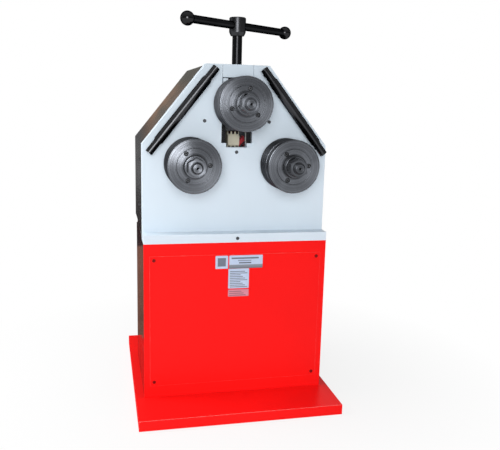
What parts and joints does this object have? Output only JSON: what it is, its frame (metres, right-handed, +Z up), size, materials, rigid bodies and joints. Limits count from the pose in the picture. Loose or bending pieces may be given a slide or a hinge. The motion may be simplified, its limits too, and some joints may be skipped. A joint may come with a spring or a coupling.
{
  "type": "angle roll bender",
  "caption": "Free-standing section bending machine: driven lower rollers and a screw-fed upper roller with T-handle on a chamfered white head, over a red pedestal and base tray.",
  "frame": {"origin": "on the floor, under the middle of the base tray", "axes": "+Z up, front with the rollers towards -Y, +X to the right seen from the front"},
  "size_m": [0.588, 0.666, 1.124],
  "materials": {
    "red_paint": "gloss powder coat",
    "side_paint": "dark gloss paint",
    "white_paint": "satin powder coat",
    "graphite_paint": "dark gloss paint",
    "roller_steel": "turned steel",
    "bare_steel": "milled steel",
    "black_steel": "black oxide",
    "black_knob": "gloss phenolic",
    "zinc_fastener": "zinc plated",
    "bronze": "machined bronze",
    "label_plate": "blank plate",
    "cast_housing": "painted casting",
    "motor_paint": "grey paint",
    "cream_plastic": "moulded",
    "red_wire": "wire insulation"
  },
  "bodies": {
    "frame": {"base_tray": "red_paint", "pedestal_frame": "red_paint", "pedestal_front": "red_paint", "left_side_panel": "side_paint", "right_side_panel": "side_paint", "pedestal_back_panel": "red_paint", "front_access_panel": "red_paint", "panel_screws": "zinc_fastener", "pedestal_bolts": "zinc_fastener", "label_plates": "label_plate", "pedestal_top_plate": "bare_steel", "head_front_cover": "white_paint", "head_wrap_cover": "graphite_paint", "head_back_cover": "graphite_paint", "cover_screws": "zinc_fastener", "frame_front_plate": "white_paint", "frame_rear_plate": "bare_steel", "frame_tie_bars": "bare_steel", "bridge_block": "white_paint", "screw_nut": "bronze", "guide_rails": "black_steel", "lower_shaft_bearings": "bronze", "gearbox_housing": "cast_housing", "drive_motor": "motor_paint", "motor_terminal_box": "motor_paint", "electrical_plate": "zinc_fastener", "contactor": "cream_plastic", "contactor_wires": "red_wire", "left_support_rod": "black_steel", "right_support_rod": "black_steel"},
    "left_roll": {"left_shaft": "roller_steel", "left_rear_ring": "roller_steel", "left_spacer_ring": "roller_steel", "left_front_ring": "roller_steel", "left_clamp_disc": "roller_steel", "left_roller_nut": "roller_steel", "left_gear": "bare_steel"},
    "right_roll": {"right_shaft": "roller_steel", "right_rear_ring": "roller_steel", "right_spacer_ring": "roller_steel", "right_front_ring": "roller_steel", "right_clamp_disc": "roller_steel", "right_roller_nut": "roller_steel", "right_gear": "bare_steel"},
    "pinion": {"drive_pinion": "bare_steel"},
    "carriage": {"carriage": "white_paint", "carriage_bearings": "bronze"},
    "upper_roll": {"upper_shaft": "roller_steel", "upper_rear_ring": "roller_steel", "upper_spacer_ring": "roller_steel", "upper_front_ring": "roller_steel", "upper_clamp_disc": "roller_steel", "upper_roller_nut": "roller_steel", "upper_lock_collar": "bare_steel"},
    "handle": {"adjusting_screw": "black_steel", "handle_hub": "black_steel", "handle_bar": "black_steel", "ball_knobs": "black_knob"},
    "left_sleeve": {"left_support_sleeve": "black_steel"},
    "right_sleeve": {"right_support_sleeve": "black_steel"}
  },
  "joints": [
    {"name": "left_roll_spin", "type": "hinge", "parent": "frame", "child": "left_roll", "pos_m": [-0.138, 0, 0.7195], "axis": [0, 1, 0], "continuous": true},
    {"name": "right_roll_spin", "type": "hinge", "parent": "frame", "child": "right_roll", "pos_m": [0.138, 0, 0.7195], "axis": [0, 1, 0], "continuous": true},
    {"name": "pinion_spin", "type": "hinge", "parent": "frame", "child": "pinion", "pos_m": [0, 0, 0.67802], "axis": [0, 1, 0], "continuous": true},
    {"name": "carriage_slide", "type": "slide", "parent": "frame", "child": "carriage", "axis": [0, 0, 1], "range_m": [-0.06, 0]},
    {"name": "upper_roll_spin", "type": "hinge", "parent": "carriage", "child": "upper_roll", "pos_m": [0, 0, 0.8865], "axis": [0, 1, 0], "continuous": true},
    {"name": "screw_turn", "type": "hinge", "parent": "carriage", "child": "handle", "pos_m": [0, -0.127, 1], "axis": [0, 0, 1], "range_deg": [-3600, 0]},
    {"name": "left_sleeve_spin", "type": "hinge", "parent": "frame", "child": "left_sleeve", "pos_m": [-0.16022, -0.181, 0.86606], "axis": [0.6204, 0, 0.7843], "continuous": true},
    {"name": "right_sleeve_spin", "type": "hinge", "parent": "frame", "child": "right_sleeve", "pos_m": [0.16022, -0.181, 0.86606], "axis": [-0.6204, 0, 0.7843], "continuous": true}
  ],
  "couplings": [
    {"joint": "right_roll_spin", "follows": "left_roll_spin", "ratio": 1},
    {"joint": "pinion_spin", "follows": "left_roll_spin", "ratio": -2.6},
    {"joint": "carriage_slide", "follows": "screw_turn", "m_per_rad": 0.00095492}
  ]
}
